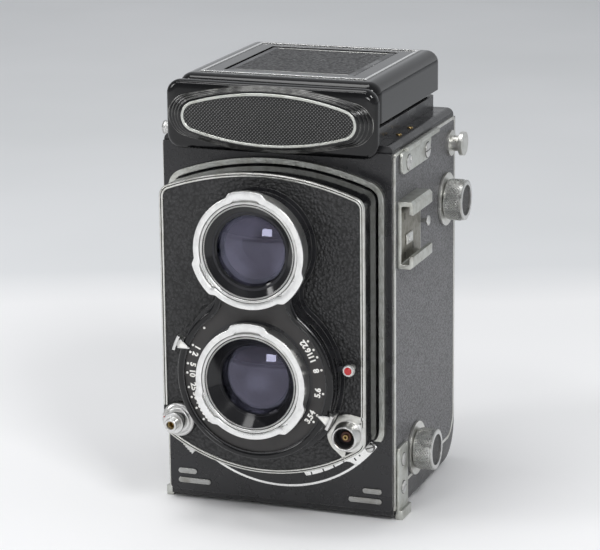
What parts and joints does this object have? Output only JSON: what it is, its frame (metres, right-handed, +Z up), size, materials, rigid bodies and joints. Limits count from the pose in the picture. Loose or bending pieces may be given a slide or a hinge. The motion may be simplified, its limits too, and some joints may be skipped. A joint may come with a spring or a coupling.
{
  "type": "twin lens reflex camera",
  "caption": "Boxy roll-film camera with a viewing lens above a taking lens on a sliding front board, folding top hood, side crank, knobs and a hinged back.",
  "frame": {"origin": "centre of the tripod socket's mouth, in the plane of the base", "axes": "+Z up, the lenses look along -Y, +X to the right of someone who faces the lenses"},
  "size_m": [0.0953, 0.0963, 0.1421],
  "materials": {
    "black_casting": "satin black enamel",
    "black_interior": "matte black",
    "gloss_black": "gloss black enamel",
    "worn_alloy": "satin, rubbed",
    "bright_metal": "polished",
    "satin_metal": "satin",
    "steel": "brushed",
    "black_leather": "fine grain",
    "black_paint": "gloss black",
    "matte_black": "matte black",
    "lens_glass": "coated",
    "screen_glass": "ground",
    "silvered": "front silvered",
    "blade_steel": "matte",
    "spool_metal": "satin"
  },
  "bodies": {
    "camera_body": {"body_casting": "black_casting", "light_chamber": "black_interior", "front_panel": "black_casting", "front_trim": "worn_alloy", "focus_shroud": "matte_black", "focus_scale": "satin_metal", "nameplate_housing": "gloss_black", "name_badge": "worn_alloy", "side_trim": "bright_metal", "side_leather": "black_leather", "shaft_flanges": "bright_metal", "accessory_shoe": "bright_metal", "strap_plate": "bright_metal", "strap_studs": "bright_metal", "foot_plates": "worn_alloy", "frame_counter": "bright_metal", "reflex_mirror": "silvered", "ground_glass": "screen_glass", "hood_base": "black_casting", "hinge_pins": "steel"},
    "front_board": {"lens_board": "gloss_black", "board_leather": "black_leather", "shutter_housing": "gloss_black", "sync_socket": "bright_metal", "viewing_barrel": "black_interior", "viewing_bayonet": "bright_metal", "viewing_glass": "lens_glass", "taking_barrel": "black_interior", "taking_bayonet": "bright_metal", "taking_glass": "lens_glass", "shutter_blades": "blade_steel"},
    "focus_arm": {"focus_lever": "satin_metal"},
    "speed_arm": {"speed_lever": "satin_metal"},
    "aperture_arm": {"aperture_lever": "satin_metal"},
    "timer_arm": {"selftimer_lever": "satin_metal"},
    "release_plunger": {"release_button": "bright_metal"},
    "release_ring": {"release_collar": "bright_metal"},
    "lid": {"hood_lid": "gloss_black", "lid_trim": "bright_metal", "finder_flap": "black_paint", "finder_leather": "black_leather", "magnifier_frame": "matte_black", "magnifier_lens": "lens_glass"},
    "left_flap": {"side_flap_left": "black_paint"},
    "right_flap": {"side_flap_right": "black_paint"},
    "rear_flap": {"back_flap": "black_paint"},
    "door": {"back_door": "black_casting", "door_leather": "black_leather", "tripod_socket": "bright_metal", "pressure_springs": "steel"},
    "bolt": {"door_bolt": "bright_metal"},
    "plate": {"pressure_plate": "matte_black"},
    "takeup": {"takeup_spool": "spool_metal", "winding_key": "steel"},
    "takeup_puller": {"takeup_knob": "bright_metal"},
    "supply_puller": {"supply_knob": "bright_metal"},
    "roller_top": {"upper_roller": "steel"},
    "roller_bottom": {"lower_roller": "steel"},
    "crank": {"crank_arm": "bright_metal"},
    "grip": {"crank_grip": "bright_metal"}
  },
  "joints": [
    {"name": "board_focus", "type": "slide", "parent": "camera_body", "child": "front_board", "axis": [0, -1, 0], "range_m": [0, 0.006]},
    {"name": "focus_lever_turn", "type": "hinge", "parent": "camera_body", "child": "focus_arm", "pos_m": [0, -0.0389, 0.0486], "axis": [0, -1, 0], "range_deg": [0, 78]},
    {"name": "speed_lever_turn", "type": "hinge", "parent": "front_board", "child": "speed_arm", "pos_m": [0, -0.0576, 0.0486], "axis": [0, -1, 0], "range_deg": [-12, 60]},
    {"name": "aperture_lever_turn", "type": "hinge", "parent": "front_board", "child": "aperture_arm", "pos_m": [0, -0.0576, 0.0486], "axis": [0, -1, 0], "range_deg": [-5, 60]},
    {"name": "selftimer_turn", "type": "hinge", "parent": "front_board", "child": "timer_arm", "pos_m": [0, -0.0548, 0.0486], "axis": [0, -1, 0], "range_deg": [-25, 0]},
    {"name": "release_press", "type": "slide", "parent": "front_board", "child": "release_plunger", "axis": [0, 1, 0], "range_m": [0, 0.002], "stiffness_N_per_m": 300, "springref_m": -0.003},
    {"name": "release_collar_turn", "type": "hinge", "parent": "front_board", "child": "release_ring", "pos_m": [-0.0284, -0.05375, 0.0312], "axis": [0, -1, 0], "range_deg": [0, 60]},
    {"name": "hood_lid_swing", "type": "hinge", "parent": "camera_body", "child": "lid", "pos_m": [0, -0.0382, 0.1376], "axis": [1, 0, 0], "range_deg": [0, 90]},
    {"name": "left_flap_swing", "type": "hinge", "parent": "camera_body", "child": "left_flap", "pos_m": [-0.0303, -0.0045, 0.126], "axis": [0, -1, 0], "range_deg": [0, 90]},
    {"name": "right_flap_swing", "type": "hinge", "parent": "camera_body", "child": "right_flap", "pos_m": [0.0303, -0.0045, 0.126], "axis": [0, 1, 0], "range_deg": [0, 90]},
    {"name": "back_flap_swing", "type": "hinge", "parent": "camera_body", "child": "rear_flap", "pos_m": [0, 0.025, 0.1269], "axis": [-1, 0, 0], "range_deg": [0, 90]},
    {"name": "back_door_swing", "type": "hinge", "parent": "camera_body", "child": "door", "pos_m": [0, 0.03, 0.12], "axis": [1, 0, 0], "range_deg": [0, 100]},
    {"name": "door_bolt_slide", "type": "slide", "parent": "door", "child": "bolt", "axis": [0, -1, 0], "range_m": [0, 0.0022]},
    {"name": "pressure_plate_float", "type": "slide", "parent": "door", "child": "plate", "axis": [0, 1, 0], "range_m": [0, 0.0005], "stiffness_N_per_m": 400, "springref_m": -0.002},
    {"name": "takeup_turn", "type": "hinge", "parent": "camera_body", "child": "takeup", "pos_m": [0, 0.0175, 0.0925], "axis": [1, 0, 0], "continuous": true},
    {"name": "crank_turn", "type": "hinge", "parent": "camera_body", "child": "crank", "pos_m": [-0.04175, -0.008, 0.095], "axis": [1, 0, 0], "continuous": true},
    {"name": "crank_grip_turn", "type": "hinge", "parent": "crank", "child": "grip", "pos_m": [-0.0464, -0.012, 0.1172], "axis": [1, 0, 0], "continuous": true},
    {"name": "takeup_knob_pull", "type": "slide", "parent": "camera_body", "child": "takeup_puller", "axis": [1, 0, 0], "range_m": [0, 0.005], "stiffness_N_per_m": 300, "springref_m": -0.004},
    {"name": "supply_knob_pull", "type": "slide", "parent": "camera_body", "child": "supply_puller", "axis": [1, 0, 0], "range_m": [0, 0.005], "stiffness_N_per_m": 300, "springref_m": -0.004},
    {"name": "upper_roller_turn", "type": "hinge", "parent": "camera_body", "child": "roller_top", "pos_m": [0, 0.0256, 0.0794], "axis": [1, 0, 0], "continuous": true},
    {"name": "lower_roller_turn", "type": "hinge", "parent": "camera_body", "child": "roller_bottom", "pos_m": [0, 0.0256, 0.0124], "axis": [1, 0, 0], "continuous": true}
  ],
  "couplings": [
    {"joint": "focus_lever_turn", "follows": "board_focus", "rad_per_m": 226.87},
    {"joint": "left_flap_swing", "follows": "hood_lid_swing", "ratio": 1},
    {"joint": "right_flap_swing", "follows": "hood_lid_swing", "ratio": 1},
    {"joint": "back_flap_swing", "follows": "hood_lid_swing", "ratio": 1},
    {"joint": "takeup_turn", "follows": "crank_turn", "ratio": 1.6}
  ]
}
